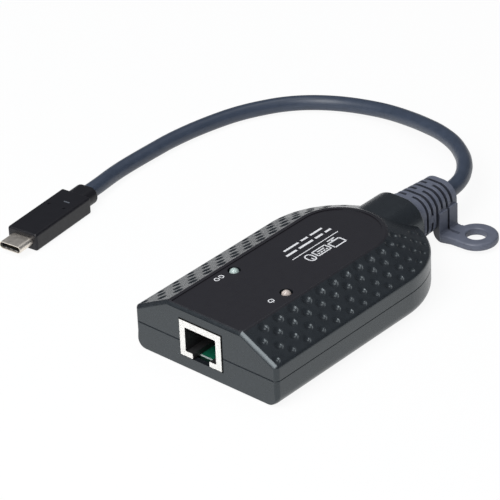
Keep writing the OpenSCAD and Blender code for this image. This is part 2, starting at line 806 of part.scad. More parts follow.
module strain_relief() color("#555a66") {
    difference() {
        union() {
            relief_body();
            ring_and_strap();
        }
        translate([0, relief_end + eps, cord_h]) rotate([90, 0, 0])
            cylinder(d = cord_d + 2 * cord_fit, h = relief_end + eps - (neck_end - neck_wall - flange_len) + eps);
    }
}

module cable() color("#3f4654") tube(cord_route, cord_d / 2, cord_sides);

// Puts a piece that is drawn with its tip towards -Y behind the cord's end
module at_plug() {
    translate([plug_at.x, plug_at.y, plug_axis_h]) rotate([0, 0, plug_turn]) children();
}

// Bar along the plug's axis between two distances from the cord's end
module plug_bar(from_y, to_y, w, h, r) {
    translate([0, -from_y, 0]) rotate([90, 0, 0]) linear_extrude(to_y - from_y) round_rect(w, h, r);
}

grip_back = collar_len;
grip_front = collar_len + grip_len;
shell_back = grip_front - grip_pocket;
shell_front = grip_front + shell_len;

module cable_head() color("#3f4654") at_plug() {
    rotate([90, 0, 0]) cylinder(d = cord_d, h = head_len);
}

module plug_grip() color("#212226") at_plug() difference() {
    union() {
        plug_bar(grip_back, grip_front, grip_w, grip_h, grip_r);
        plug_bar(0, grip_back + eps, collar_w, collar_h, collar_h / 2 - fit);
    }
    plug_bar(-eps, head_len + fit, cord_d + 2 * cord_fit, cord_d + 2 * cord_fit, cord_d / 2);
    plug_bar(shell_back - fit, grip_front + eps, shell_w + fit, shell_h + fit, shell_h / 2);
    board_pocket(fit);
    for (x = [-dimple_x, dimple_x])
        translate([x, -grip_back - dimple_back, grip_h / 2 - dimple_depth]) cylinder(r = dimple_r, h = dimple_depth + eps);
}

// Space of the small board between the cord and the shell
module board_pocket(gap) {
    s = plug_board_size;
    translate([-s.x / 2 - gap, -shell_back + fit - gap, -s.z / 2 - gap])
        cube([s.x + 2 * gap, shell_back - head_len - 3 * fit + 2 * gap, s.z + 2 * gap]);
}

module plug_shell() color("#a8a49c") at_plug() difference() {
    plug_bar(shell_back, shell_front, shell_w, shell_h, shell_h / 2 - insert_gap);
    plug_bar(shell_back - eps, shell_front + eps, shell_w - 2 * shell_t, shell_h - 2 * shell_t,
        shell_h / 2 - insert_gap - shell_t);
}

module plug_insert() color("#101113") at_plug() difference() {
    w = shell_w - 2 * shell_t - 2 * insert_gap;
    h = shell_h - 2 * shell_t - 2 * insert_gap;
    plug_bar(shell_back, shell_front - mouth_inset, w, h, h / 2 - insert_gap);
    translate([-mouth_w / 2, -shell_front - eps, -mouth_h / 2]) cube([mouth_w, mouth_depth + eps, mouth_h]);
    springs(insert_gap);
}

module plug_contacts() color("#e0b24a") at_plug() {
    for (i = [0:pad_n - 1], s = [-1, 1]) {
        z = s * (mouth_h / 2 - pad_t / 2);
        translate([(i - (pad_n - 1) / 2) * pad_pitch - pad_w / 2, -shell_front + mouth_depth - pad_len, z - pad_t / 2])
            cube([pad_w, pad_len, pad_t]);
    }
}

// Ground springs against the inside of the shell, grown by a gap
module springs(gap) {
    for (i = [0:spring_n - 1], s = [-1, 1])
        translate([(i - (spring_n - 1) / 2) * spring_pitch - spring_size.x / 2 - gap, -shell_front + mouth_inset - gap,
            s * (shell_h / 2 - shell_t - spring_size.z / 2) - spring_size.z / 2 - gap])
            cube([spring_size.x + 2 * gap, spring_size.y + 2 * gap, spring_size.z + 2 * gap]);
}

module plug_springs() color("#c9ccd0") at_plug() springs(0);

module plug_board() color("#1d6b3a") at_plug() board_pocket(0);

top_cover();
bottom_cover();
cover_screws();
circuit_board();
jack_shield();
jack_insert();
jack_contacts();
link_led();
power_led();
led_legs();
led_spacers();
network_transformer();
processor_chip();
video_chip();
memory_chip();
flash_chip();
voltage_regulator();
power_inductor();
crystal();
filter_capacitors();
ceramic_capacitors();
wire_header();
header_pins();
wire_plug();
lead_wires();
cable_tail();
strain_relief();
cable();
cable_head();
plug_grip();
plug_shell();
plug_insert();
plug_contacts();
plug_springs();
plug_board();
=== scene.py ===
"""Dresses the adapter: camera, materials, cord, skin of the covers, rounded edges, print and studio."""

import math

import bmesh
import bpy
from mathutils import Matrix, Vector


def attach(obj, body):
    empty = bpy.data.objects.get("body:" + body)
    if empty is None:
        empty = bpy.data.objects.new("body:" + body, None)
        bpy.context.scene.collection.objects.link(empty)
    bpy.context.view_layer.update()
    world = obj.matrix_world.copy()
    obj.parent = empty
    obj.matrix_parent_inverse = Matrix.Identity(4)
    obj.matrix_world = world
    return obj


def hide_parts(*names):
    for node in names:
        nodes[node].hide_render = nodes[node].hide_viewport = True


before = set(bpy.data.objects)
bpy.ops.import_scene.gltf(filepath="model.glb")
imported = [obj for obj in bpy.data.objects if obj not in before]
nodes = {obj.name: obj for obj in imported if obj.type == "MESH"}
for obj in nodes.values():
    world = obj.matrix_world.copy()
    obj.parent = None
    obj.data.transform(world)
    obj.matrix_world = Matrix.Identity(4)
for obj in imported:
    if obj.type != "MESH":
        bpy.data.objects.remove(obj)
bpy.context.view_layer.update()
scene = bpy.context.scene
MM = 0.001

# Sizes and places in millimetres, as in the CAD source
HALF_W = 27.65
STRAIGHT = 61.0
HEIGHT = 20.8
SIDE_H = 13.8
PARTING = 9.0
HALF_TOP = 14.2
LABEL_Z = 20.5
NECK_HALF_W = 10.3
NECK_HALF_H = 9.8
NECK_R = 8.2
NECK_END = 29.0
JACK_FRONT = -61.3
BOARD_FRONT = -58.0
BOARD_TOP = 4.5
RELIEF_END = 49.0
RING_AT = (16.0, 46.8)
RING_R = 7.0
RING_HOLE_R = 3.2
RING_H = 0.9
RING_T = 2.6
STRAP_Y = 43.84
STRAP_W = 9.0
CORD_H = 10.2
CORD_D = 5.2
GRIP_HALF_W = 5.8
GRIP_HALF_H = 3.1
GRIP_LEN = 27.7
COLLAR_HALF_W = 4.4
COLLAR_HALF_H = 3.0
COLLAR_LEN = 6.1

# How far the dressed surfaces lie inside the solids, in millimetres
SKIN_IN = 0.06
GRIP_IN = 0.04
RING_IN = 0.02
CORD_IN = 0.02


# Camera

def make_camera():
    focal_mm = 216.1
    sensor_mm = 36.0
    place_mm = Vector((504.2, -588.7, 478.0))
    back = Vector((0.5807, -0.6324, 0.5127)).normalized()
    right = Vector((0.7515, 0.6586, -0.0388))
    right = (right - back * right.dot(back)).normalized()
    up = back.cross(right)
    data = bpy.data.cameras.new("camera")
    data.lens = focal_mm
    data.sensor_width = sensor_mm
    data.clip_start = 0.05
    data.clip_end = 20.0
    cam = bpy.data.objects.new("camera", data)
    scene.collection.objects.link(cam)
    turn = Matrix((right, up, back)).transposed().to_4x4()
    cam.matrix_world = Matrix.Translation(place_mm * MM) @ turn
    scene.camera = cam


make_camera()


# Materials

def noise_node(tree, size_mm, detail):
    """Noise of a real size that stays with the object."""
    place = tree.nodes.new("ShaderNodeTexCoord")
    noise = tree.nodes.new("ShaderNodeTexNoise")
    noise.inputs["Scale"].default_value = 1 / (size_mm * MM)
    noise.inputs["Detail"].default_value = detail
    tree.links.new(place.outputs["Object"], noise.inputs["Vector"])
    return noise


def map_range(tree, value, from_low, from_high, to_low, to_high):
    """Value moved from one range to another and kept within it."""
    node = tree.nodes.new("ShaderNodeMapRange")
    node.inputs["From Min"].default_value = from_low
    node.inputs["From Max"].default_value = from_high
    node.inputs["To Min"].default_value = to_low
    node.inputs["To Max"].default_value = to_high
    tree.links.new(value, node.inputs["Value"])
    return node.outputs["Result"]


def math_node(tree, operation, *values):
    """Value of a math node fed with sockets or numbers."""
    node = tree.nodes.new("ShaderNodeMath")
    node.operation = operation
    for socket, value in zip(node.inputs, values):
        if isinstance(value, bpy.types.NodeSocket):
            tree.links.new(value, socket)
        else:
            socket.default_value = value
    return node.outputs["Value"]


def along(tree, kind, axis):
    """One axis of the object's own place (kind Object) or of its surface direction (kind Normal)."""
    coordinates = tree.nodes.new("ShaderNodeTexCoord")
    split = tree.nodes.new("ShaderNodeSeparateXYZ")
    tree.links.new(coordinates.outputs[kind], split.inputs["Vector"])
    return split.outputs[axis]


def add_mottle(tree, b, colour, rough, mottle, mottle_mm, rough_spread):
    """Lets the colour, and the roughness where it has a spread, vary in patches."""
    low, high = 0.3, 0.7
    noise = noise_node(tree, mottle_mm, 6)
    noise.inputs["Roughness"].default_value = 0.65
    ramp = tree.nodes.new("ShaderNodeValToRGB")
    dark, light = ramp.color_ramp.elements
    dark.position = low
    light.position = high
    dark.color = (*[c * (1 - mottle) for c in colour], 1)
    light.color = (*[min(1, c * (1 + mottle)) for c in colour], 1)
    tree.links.new(noise.outputs["Fac"], ramp.inputs["Fac"])
    tree.links.new(ramp.outputs["Color"], b.inputs["Base Color"])
    if rough_spread:
        spread = map_range(tree, noise.outputs["Fac"], low, high, rough - rough_spread, rough + rough_spread)
        tree.links.new(spread, b.inputs["Roughness"])


def add_grain(tree, b, grain, grain_mm):
    """Fine bumps of a height grain, in millimetres."""
    bump = tree.nodes.new("ShaderNodeBump")
    bump.inputs["Strength"].default_value = 1.0
    bump.inputs["Distance"].default_value = grain * MM
    tree.links.new(noise_node(tree, grain_mm, 3).outputs["Fac"], bump.inputs["Height"])
    tree.links.new(bump.outputs["Normal"], b.inputs["Normal"])


def plain(name, colour, rough, mottle, mottle_mm=4.0, rough_spread=0.0, grain=0.0, grain_mm=0.3,
          metallic=0.0, specular=0.5, transmission=0.0, sheen_tint=(1, 1, 1)):
    """Principled material whose colour, gloss and surface vary by noise at real sizes."""
    m = bpy.data.materials.new(name)
    m.use_nodes = True
    tree = m.node_tree
    b = tree.nodes["Principled BSDF"]
    b.inputs["Metallic"].default_value = metallic
    b.inputs["Specular IOR Level"].default_value = specular
    b.inputs["Roughness"].default_value = rough
    b.inputs["Specular Tint"].default_value = (*sheen_tint, 1)
    b.inputs["Transmission Weight"].default_value = transmission
    add_mottle(tree, b, colour, rough, mottle, mottle_mm, rough_spread)
    if grain:
        add_grain(tree, b, grain, grain_mm)
    return m


def blend_base(m, factor, colour):
    """Blends the base colour towards another one by a factor between 0 and 1."""
    tree = m.node_tree
    base = tree.nodes["Principled BSDF"].inputs["Base Color"]
    mix = tree.nodes.new("ShaderNodeMixRGB")
    mix.inputs["Color2"].default_value = (*colour, 1)
    tree.links.new(factor, mix.inputs["Fac"])
    tree.links.new(base.links[0].from_socket, mix.inputs["Color1"])
    tree.links.new(mix.outputs["Color"], base)


def tint_past(m, axis, place_mm, colour, side="GREATER_THAN"):
    """Gives the material another colour on one side of a place along the axis."""
    tree = m.node_tree
    blend_base(m, math_node(tree, side, along(tree, "Object", axis), place_mm * MM), colour)


def paint_slot_shade(m, reach_mm, share):
    """Paints shade on the slots' walls, which face along the cord, but not past a place towards the ring."""
    tree = m.node_tree
    facing = math_node(tree, "ABSOLUTE", along(tree, "Normal", "Y"))
    fade = map_range(tree, facing, 0.55, 0.85, 0, share)
    inside = math_node(tree, "LESS_THAN", along(tree, "Object", "X"), reach_mm * MM)
    blend_base(m, math_node(tree, "MULTIPLY", fade, inside), (0, 0, 0))


MATS = {
    "housing": plain("housing_plastic", (0.0115, 0.0140, 0.0175), 0.29, specular=0.75, grain=0.012,
                     grain_mm=0.22, mottle=0.10, mottle_mm=2.5, rough_spread=0.04,
                     sheen_tint=(0.86, 0.96, 1.0)),
    "print": plain("white_print", (0.72, 0.73, 0.75), 0.5, specular=0.35, mottle=0.06, mottle_mm=0.5),
    "mark": plain("plug_mark", (0.10, 0.11, 0.13), 0.4, mottle=0.1, mottle_mm=0.4),
    "relief": plain("relief_rubber", (0.108, 0.120, 0.160), 0.45, specular=0.55, grain=0.015, mottle=0.09,
                    mottle_mm=2.0, rough_spread=0.05),
    "cord": plain("cord_jacket", (0.036, 0.049, 0.077), 0.40, grain=0.012, grain_mm=0.35, mottle=0.10,
                  mottle_mm=3.0, rough_spread=0.05),
    "grip": plain("grip_plastic", (0.0065, 0.0065, 0.0095), 0.42, specular=0.38, grain=0.010,
                  grain_mm=0.22, mottle=0.1, mottle_mm=2.0, rough_spread=0.04),
    "frame": plain("jack_frame", (0.80, 0.79, 0.755), 0.34, specular=0.6, grain=0.004, grain_mm=0.5,
                   mottle=0.04, mottle_mm=2.0, rough_spread=0.04),
    "jack_black": plain("jack_plastic", (0.020, 0.0205, 0.0215), 0.4, grain=0.01, mottle=0.1),
    "gold": plain("gold_contact", (0.82, 0.58, 0.24), 0.25, metallic=1.0, mottle=0.08, mottle_mm=0.8),
    "steel": plain("screw_steel", (0.45, 0.46, 0.48), 0.3, metallic=1.0, grain=0.003, grain_mm=0.2,
                   mottle=0.08),
    "shell": plain("plug_steel", (0.88, 0.82, 0.74), 0.42, metallic=1.0, grain=0.003, grain_mm=0.4,
                   mottle=0.06, mottle_mm=1.5, rough_spread=0.05),
    "tin": plain("tinned_lead", (0.6, 0.61, 0.62), 0.3, metallic=1.0, mottle=0.1, mottle_mm=0.5),
    "board": plain("board_laminate", (0.005, 0.110, 0.060), 0.35, mottle=0.15, mottle_mm=1.2),
    "paddle": plain("paddle_laminate", (0.005, 0.110, 0.060), 0.35, mottle=0.15, mottle_mm=1.2),
    "chip": plain("chip_plastic", (0.02, 0.021, 0.024), 0.5, grain=0.008, grain_mm=0.15, mottle=0.1),
    "ferrite": plain("ferrite", (0.05, 0.05, 0.055), 0.6, grain=0.02, grain_mm=0.25, mottle=0.15),
    "can": plain("bright_can", (0.7, 0.71, 0.72), 0.22, metallic=1.0, mottle=0.05),
    "ceramic": plain("ceramic", (0.36, 0.24, 0.14), 0.5, grain=0.005, mottle=0.1),
    "nylon": plain("header_nylon", (0.72, 0.69, 0.6), 0.45, grain=0.006, mottle=0.05),
    "wire": plain("wire_sleeve", (0.42, 0.05, 0.04), 0.4, mottle=0.08),
    "spacer": plain("spacer_plastic", (0.015, 0.015, 0.016), 0.45, grain=0.008, mottle=0.1),
    "lens_green": plain("lens_green", (0.62, 0.76, 0.73), 0.12, specular=0.6, transmission=0.35,
                        mottle=0.18, mottle_mm=0.9),
    "lens_orange": plain("lens_orange", (0.78, 0.68, 0.62), 0.12, specular=0.6, transmission=0.35,
                         mottle=0.18, mottle_mm=0.9),
}

# The label field's own colour, painted shade on the jack's shield behind its white front, the board's pale
# bare front edge along its top, and the board darker below it and on its sides
tint_past(MATS["housing"], "Z", LABEL_Z - 0.1, (0.0130, 0.0112, 0.0145))
# Painted shade: the shield behind its white front is darkened to stand in for the shade inside the jack.
tint_past(MATS["frame"], "Y", JACK_FRONT + 0.12, (0.03, 0.03, 0.03))
tint_past(MATS["board"], "Y", BOARD_FRONT + 0.25, (0.50, 0.58, 0.56), side="LESS_THAN")
# The board is darker below a level just under its top, which keeps the pale front edge to a band along the
# top.
tint_past(MATS["board"], "Z", BOARD_TOP - 0.4, (0.010, 0.030, 0.022), side="LESS_THAN")
# Painted shade in the strain relief's slots: their walls are darkened where shade falls inside them.
paint_slot_shade(MATS["relief"], 7.4, 0.62)

NODES_OF_MATS = {
    "housing": ("top_cover", "bottom_cover"),
    "steel": ("cover_screws", "plug_springs"),
    "board": ("circuit_board",),
    "paddle": ("plug_board",),
    "frame": ("jack_shield",),
    "jack_black": ("jack_insert", "plug_insert"),
    "gold": ("jack_contacts", "plug_contacts"),
    "lens_green": ("link_led",),
    "lens_orange": ("power_led",),
    "tin": ("led_legs", "header_pins"),
    "spacer": ("led_spacers",),
    "chip": ("network_transformer", "processor_chip", "video_chip", "memory_chip", "flash_chip",
             "voltage_regulator"),
    "ferrite": ("power_inductor",),
    "can": ("crystal", "filter_capacitors"),
    "ceramic": ("ceramic_capacitors",),
    "nylon": ("wire_header", "wire_plug"),
    "wire": ("lead_wires",),
    "cord": ("cable_tail", "cable", "cable_head"),
    "relief": ("strain_relief",),
    "grip": ("plug_grip",),
    "shell": ("plug_shell",),
}


def set_material(obj, key):
    obj.data.materials.clear()
    obj.data.materials.append(MATS[key])


for key, names in NODES_OF_MATS.items():
    for name in names:
        set_material(nodes[name], key)


# Cord

CORD_ROUTE = [
    (0, RELIEF_END, CORD_H), (0, 54, 10.2), (-1, 60, 10.2), (-3.5, 65.5, 10), (-7, 70.5, 10),
    (-12, 75.5, 9.5), (-19, 80.5, 9), (-27, 84, 8.5), (-35, 86.5, 7.5), (-44, 89, 6), (-55, 90.5, 4.5),
    (-65.5, 89.5, 3.5), (-74.5, 87, 2.8), (-82, 82.5, 2.6), (-88, 76.5, 2.6), (-92.5, 69.5, 2.6),
    (-96, 62, 2.6), (-98.5, 53.5, 2.6), (-100.5, 43, 2.6), (-101.5, 32, 2.6), (-101.5, 20, 2.6),
    (-101, 8, 2.6), (-99.2, -1.5, 3.1), (-98.5, -7.7, 3.1),
]


def smooth_route(points, steps):
    """Catmull-Rom line through the points, with straight ends, kept within their least x and z."""
    p = [Vector(q) for q in points]
    p = [2 * p[0] - p[1]] + p + [2 * p[-1] - p[-2]]
    out = []
    for i in range(1, len(p) - 2):
        for k in range(steps):
            t = k / steps
            out.append(0.5 * (2 * p[i] + (p[i + 1] - p[i - 1]) * t
                              + (2 * p[i - 1] - 5 * p[i] + 4 * p[i + 1] - p[i + 2]) * t * t
                              + (3 * p[i] - p[i - 1] - 3 * p[i + 1] + p[i + 2]) * t ** 3))
    out.append(p[-2])
    low_x = min(q[0] for q in points)
    low_z = min(q[2] for q in points)
    return [Vector((max(q.x, low_x), q.y, max(q.z, low_z))) for q in out]


def make_cord(mark):
    """Cord from the strain relief to the plug. The mark it is given is not used."""
    line = smooth_route(CORD_ROUTE, 8)
    data = bpy.data.curves.new("cord", "CURVE")
    data.dimensions = "3D"
    data.bevel_depth = (CORD_D / 2 - CORD_IN) * MM
    data.bevel_resolution = 7
    spline = data.splines.new("POLY")
    spline.points.add(len(line) - 1)
    for point, q in zip(spline.points, line):
        point.co = (*(q * MM), 1)
    spline.use_smooth = True
    obj = bpy.data.objects.new("cord", data)
    scene.collection.objects.link(obj)
    data.materials.append(MATS["cord"])
    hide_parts("cable")
    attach(obj, "root")


# Mesh helpers

def link_mesh(name, bm, material, smooth=True):
    bmesh.ops.recalc_face_normals(bm, faces=bm.faces)
    mesh = bpy.data.meshes.new(name)
    for f in bm.faces:
        f.smooth = smooth
    bm.to_mesh(mesh)
    bm.free()
    obj = bpy.data.objects.new(name, mesh)
    scene.collection.objects.link(obj)
    if material:
        mesh.materials.append(MATS[material])
    return obj


def grid_faces(bm, rows, closed=False):
    """Quads between successive rows of vertices."""
    for a, b in zip(rows, rows[1:]):
        n = len(a)
        for i in range(n if closed else n - 1):
            quad = [a[i], a[(i + 1) % n], b[(i + 1) % n], b[i]]
            unique = list(dict.fromkeys(quad))
            if len(unique) >= 3:
                bm.faces.new(unique)


def hide_tool(obj):
    """A shape that only cuts other pieces and is never drawn."""
    obj.hide_render = True
    obj.hide_viewport = True


def arc_points(cx, cz, r, a0, a1, n):
    """Points on an arc between two angles in degrees, both ends included."""
    return [(cx + r * math.cos(math.radians(a0 + (a1 - a0) * i / n)),
             cz + r * math.sin(math.radians(a0 + (a1 - a0) * i / n))) for i in range(n + 1)]


def span(a, b, step):
    """Even places from a to b, about a step apart, both ends included."""
    n = max(1, round(abs(b - a) / step))
    return [a + (b - a) * i / n for i in range(n + 1)]


# Skin of the housing

# Rows of dimples: distance from the centre plane, first place along Y, first step, change of step,
# radius, depth
DIMPLE_ROWS = [
    (16.45, -53.4, 6.50, -0.150, 1.60, 0.58),
    (19.40, -57.3, 6.60, -0.130, 1.45, 0.53),
    (22.70, -54.1, 6.60, -0.140, 1.32, 0.49),
    (25.50, -58.5, 6.85, -0.155, 1.15, 0.43),
]
BASE_R = 3.8
SIDE_R = 1.3
RIM_R = 0.7
FRONT_EDGE = 1.25
GROOVE = 0.16
GRID = 0.26
REAR_STEPS = 150
SLOPE = math.atan2(HEIGHT - SIDE_H, HALF_W - HALF_TOP)
NORMAL = (math.sin(SLOPE), math.cos(SLOPE))


def slope_z(x):
    return HEIGHT - (x - HALF_TOP) * math.tan(SLOPE)


def dimple_places():
    """Centres on the right slope and round the rear, on the surface, with the outward normal."""
    straight_end = 0.5
    neck_clear = 11.2
    places = []
    for x, y, step, change, r, depth in DIMPLE_ROWS:
        while y < straight_end:
            places.append((Vector((x, y, slope_z(x))), Vector((NORMAL[0], 0, NORMAL[1])), r, depth))
            y += step
            step += change
        turn = y / x
        pitch = step / x
        while turn < math.radians(90):
            c, s = math.cos(turn), math.sin(turn)
            if x * c > neck_clear:
                places.append((Vector((x * c, x * s, slope_z(x))),
                               Vector((NORMAL[0] * c, NORMAL[0] * s, NORMAL[1])), r, depth))
            turn += pitch
    return places


def skin_profile():
    """Right half of the outline from the middle of the base outwards and up to the centre, in XZ."""
    w = HALF_W - SKIN_IN
    top = HEIGHT - SKIN_IN
    base_step = 3.0
    points = [(x, SKIN_IN) for x in span(0, w - BASE_R, base_step)][:-1]
    points += arc_points(w - BASE_R, SKIN_IN + BASE_R, BASE_R, -90, 0, 8)
    # Side with the groove of the joint
    points += [(w, z) for z in (0.6 * PARTING, 0.8 * PARTING, PARTING - GROOVE)]
    points += [(w - GROOVE, PARTING), (w, PARTING + GROOVE), (w, PARTING + 2)]
    inset = SKIN_IN / math.cos(SLOPE)
    angle = math.degrees(SLOPE)
    # Arc between the side and the slope
    corner = SIDE_R * math.tan(math.radians((90 - angle) / 2))
    side_top = slope_z(w) - inset
    points += arc_points(w - SIDE_R, side_top - corner, SIDE_R, 0, 90 - angle, 6)
    x0 = points[-1][0]
    # Slope up to the rounded rim of the label field
    reach = RIM_R * math.tan(math.radians(angle / 2))
    x1 = HALF_TOP + reach * math.cos(SLOPE)
    points += [(x, slope_z(x) - inset) for x in span(x0, x1, GRID)[1:-1]]
    points += arc_points(HALF_TOP - reach, top - RIM_R, RIM_R, 90 - angle, 90, 3)
    return points


def skin_rows():
    """Stations of the skin along Y with their inset, over the eased front edge and on to the centre."""
    flatness = 1.55
    steps = 7
    front = -STRAIGHT + SKIN_IN
    rows = []
    for k in range(steps + 1):
        a = math.radians(90 - 90 * k / steps)
        rows.append((front + FRONT_EDGE * (1 - math.sin(a) ** flatness),
                     FRONT_EDGE * (1 - abs(math.cos(a)) ** flatness)))
    rows += [(y, 0.0) for y in span(front + FRONT_EDGE, 0, GRID)[1:]]
    return rows


def inset_profile(points, d):
    """The outline moved inwards by d along its normals, and by less near the base.

    The two ends stay on the centre plane.
    """
    if d == 0:
        return points
    base_share = 0.2
    base_z = 0.5
    base_reach = 4.5
    out = []
    n = len(points)
    for i, (x, z) in enumerate(points):
        a = points[max(i - 1, 0)]
        b = points[min(i + 1, n - 1)]
        tx, tz = b[0] - a[0], b[1] - a[1]
        length = math.hypot(tx, tz)
        nx, nz = tz / length, -tx / length
        if i == 0:
            nx, nz = 0, -1
        if i == n - 1:
            nx, nz = 0, 1
        share = base_share + (1 - base_share) * min(1.0, max(0.0, (z - base_z) / base_reach))
        out.append((max(0.0, x - nx * d * share), z - nz * d * share))
    return out


def press_dimples(bm):
    """Sinks the slope's vertices into spherical dimples."""
    cell = 4.0
    rim = 0.3
    table = {}
    for place in dimple_places():
        for side in (1, -1):
            c, n, r, depth = place
            c = Vector((c.x * side, c.y, c.z))
            n = Vector((n.x * side, n.y, n.z))
            key = (math.floor(c.x / cell), math.floor(c.y / cell))
            table.setdefault(key, []).append((c, n, r, depth))
    for v in bm.verts:
        if v.co.z < SIDE_H or v.co.z > HEIGHT - rim:
            continue
        kx, ky = math.floor(v.co.x / cell), math.floor(v.co.y / cell)
        for ix in (kx - 1, kx, kx + 1):
            for iy in (ky - 1, ky, ky + 1):
                for c, n, r, depth in table.get((ix, iy), ()):
                    d = (v.co - c).length
                    if d < r:
                        ball = (r * r + depth * depth) / (2 * depth)
                        sink = math.sqrt(ball * ball - d * d) - (ball - depth)
                        v.co -= n * max(0.0, sink)


def close_front(bm, right, left, outline):
    """Front face in two fields with the joint's groove between them."""
    low = next(i for i, p in enumerate(outline) if abs(p[1] - (PARTING - GROOVE)) < 1e-6)
    mid, high = low + 1, low + 2
    for v in (right[mid], left[mid]):
        v.co.y += GROOVE
    bm.faces.new(right[:mid] + left[:mid][::-1])
    bm.faces.new((right[low], right[mid], left[mid], left[low]))
    bm.faces.new((right[mid], right[high], left[high], left[mid]))
    bm.faces.new(right[high:] + left[high:][::-1])


def make_skin():
    """Closed outer form of both covers, just inside their faces, with rounded edges and dimples."""
    outline = skin_profile() + [(0.0, HEIGHT - SKIN_IN)]
    bm = bmesh.new()
    halves = []
    for side in (1, -1):
        rows = []
        for y, d in skin_rows():
            rows.append([bm.verts.new((side * x, y, z)) for x, z in inset_profile(outline, d)])
        for k in range(1, REAR_STEPS + 1):
            a = math.radians(90 * k / REAR_STEPS)
            rows.append([bm.verts.new((side * x * math.cos(a), x * math.sin(a), z)) for x, z in outline])
        halves.append(rows)
        grid_faces(bm, rows)
    right, left = halves
    close_front(bm, right[0], left[0], outline)
    bmesh.ops.remove_doubles(bm, verts=bm.verts, dist=1e-4)
    press_dimples(bm)
    bm.transform(Matrix.Scale(MM, 4))
    return link_mesh("skin_form", bm, "housing")


def rounded_section(half_w, half_h, r):
    """Closed outline of a rounded rectangle as (x, z) about the origin."""
    steps = 12
    out = []
    for cx, cz, a in ((half_w - r, half_h - r, 0), (r - half_w, half_h - r, 90),
                      (r - half_w, r - half_h, 180), (half_w - r, r - half_h, 270)):
        out += arc_points(cx, cz, r, a, a + 90, steps)
    return out


def bar_form(name, sections, place):
    """Closed bar along Y from rounded sections given as (y, half width, half height, corner radius)."""
    bm = bmesh.new()
    rows = [[bm.verts.new((x, y, z)) for x, z in rounded_section(half_w, half_h, r)]
            for y, half_w, half_h, r in sections]
    grid_faces(bm, rows, closed=True)
    bm.faces.new(rows[0])
    bm.faces.new(rows[-1])
    bm.transform(Matrix.Scale(MM, 4) @ place)
    return link_mesh(name, bm, None)


def rounded_ends(y0, y1, half_w, half_h, r, edge0, edge1):
    """Sections of a bar whose two end faces have edges rounded by edge0 and edge1."""
    steps = 6
    least_r = 0.3
    sections = []
    for k in range(steps + 1):
        a = math.radians(90 * k / steps)
        d = edge0 * (1 - math.sin(a))
        sections.append((y0 + edge0 * (1 - math.cos(a)), half_w - d, half_h - d, max(least_r, r - d)))
    for k in range(steps + 1):
        a = math.radians(90 * k / steps)
        d = edge1 * (1 - math.cos(a))
        sections.append((y1 - edge1 * (1 - math.sin(a)), half_w - d, half_h - d, max(least_r, r - d)))
    return sections


def make_neck():
    """The neck's outer form with a rounded rear edge. Its front end lies inside the housing."""
    start, start_edge, rear_edge = 15.0, 0.1, 0.8
    sections = rounded_ends(start, NECK_END - SKIN_IN, NECK_HALF_W - SKIN_IN, NECK_HALF_H - SKIN_IN,
                            NECK_R - SKIN_IN, start_edge, rear_edge)
    return bar_form("neck_form", sections, Matrix.Translation((0, 0, CORD_H)))


def make_grip():
    """Outer forms of the plug's grip and collar, with rounded ends.

    The plug's tip points towards -Y before its turn.
    """
    x, y, z = CORD_ROUTE[-1]
    back = CORD_ROUTE[-2]
    place = Matrix.Translation((x, y, z)) @ Matrix.Rotation(math.atan2(x - back[0], back[1] - y), 4, "Z")
    corner_r, tip_edge, rear_edge = 1.0, 0.75, 0.4
    sections = rounded_ends(-(COLLAR_LEN + GRIP_LEN) + GRIP_IN, -COLLAR_LEN, GRIP_HALF_W - GRIP_IN,
                            GRIP_HALF_H - GRIP_IN, corner_r, tip_edge, rear_edge)
    grip = bar_form("grip_form", sections, place)
    collar_r, overlap, start_edge, end_edge = 2.9, 2, 0.1, 1.0
    sections = rounded_ends(-COLLAR_LEN - overlap, -GRIP_IN, COLLAR_HALF_W - GRIP_IN,
                            COLLAR_HALF_H - GRIP_IN, collar_r, start_edge, end_edge)
    collar = bar_form("collar_form", sections, place)
    return grip, collar


def ring_outline(d):
    """Outline of the ring with its strap, moved inwards by d on the ring and not where the strap bends."""
    cx, cy = RING_AT
    spare, rise = 0.05, 0.25
    inner_x, bend_x, neck_x = 6.0, 8.0, 11.5
    front = STRAP_Y - STRAP_W / 2 - spare
    rear = STRAP_Y + STRAP_W / 2 + spare
    arc = arc_points(cx, cy, RING_R - d, -90, 165, 64)
    start = [(inner_x, front), (bend_x, front), (neck_x, front + rise + d)]
    return start + arc + [(bend_x, rear), (inner_x, rear)]


def round_levels(middle, half, edge):
    """Heights up a side whose upper and lower edges are rounded by edge, with the inset at each."""
    steps = 8
    least_in = 0.03
    levels = []
    for k in range(steps + 1):
        a = math.radians(-90 + 180 * k / steps)
        z = (half - edge) * (1 if a > 0 else -1) + edge * math.sin(a)
        levels.append((middle + z, edge * (1 - math.cos(a)) + least_in))
    return levels


def make_ring():
    """Form that rounds the edges of the ring, its hole and the strap's level part."""
    bm = bmesh.new()
    rim_edge, hole_edge = 0.95, 0.6
    half = RING_T / 2 - RING_IN
    middle = RING_H + RING_T / 2
    cx, cy = RING_AT
    outer = [[bm.verts.new((x, y, z)) for x, y in ring_outline(d)]
             for z, d in round_levels(middle, half, rim_edge)]
    grid_faces(bm, outer, closed=True)
    count = len(outer[0])
    hole = []
    for z, d in round_levels(middle, half, hole_edge):
        turns = [2 * math.pi * i / count for i in range(count)]
        r = RING_HOLE_R + d
        hole.append([bm.verts.new((cx + r * math.cos(t), cy + r * math.sin(t), z)) for t in turns])
    grid_faces(bm, hole, closed=True)
    for level in (0, -1):
        edges = []
        for row in (outer[level], hole[level]):
            edges += [bm.edges.get((row[i], row[(i + 1) % count])) for i in range(count)]
        bmesh.ops.triangle_fill(bm, edges=edges, use_beauty=True)
    bm.transform(Matrix.Scale(MM, 4))
    return link_mesh("ring_form", bm, None)


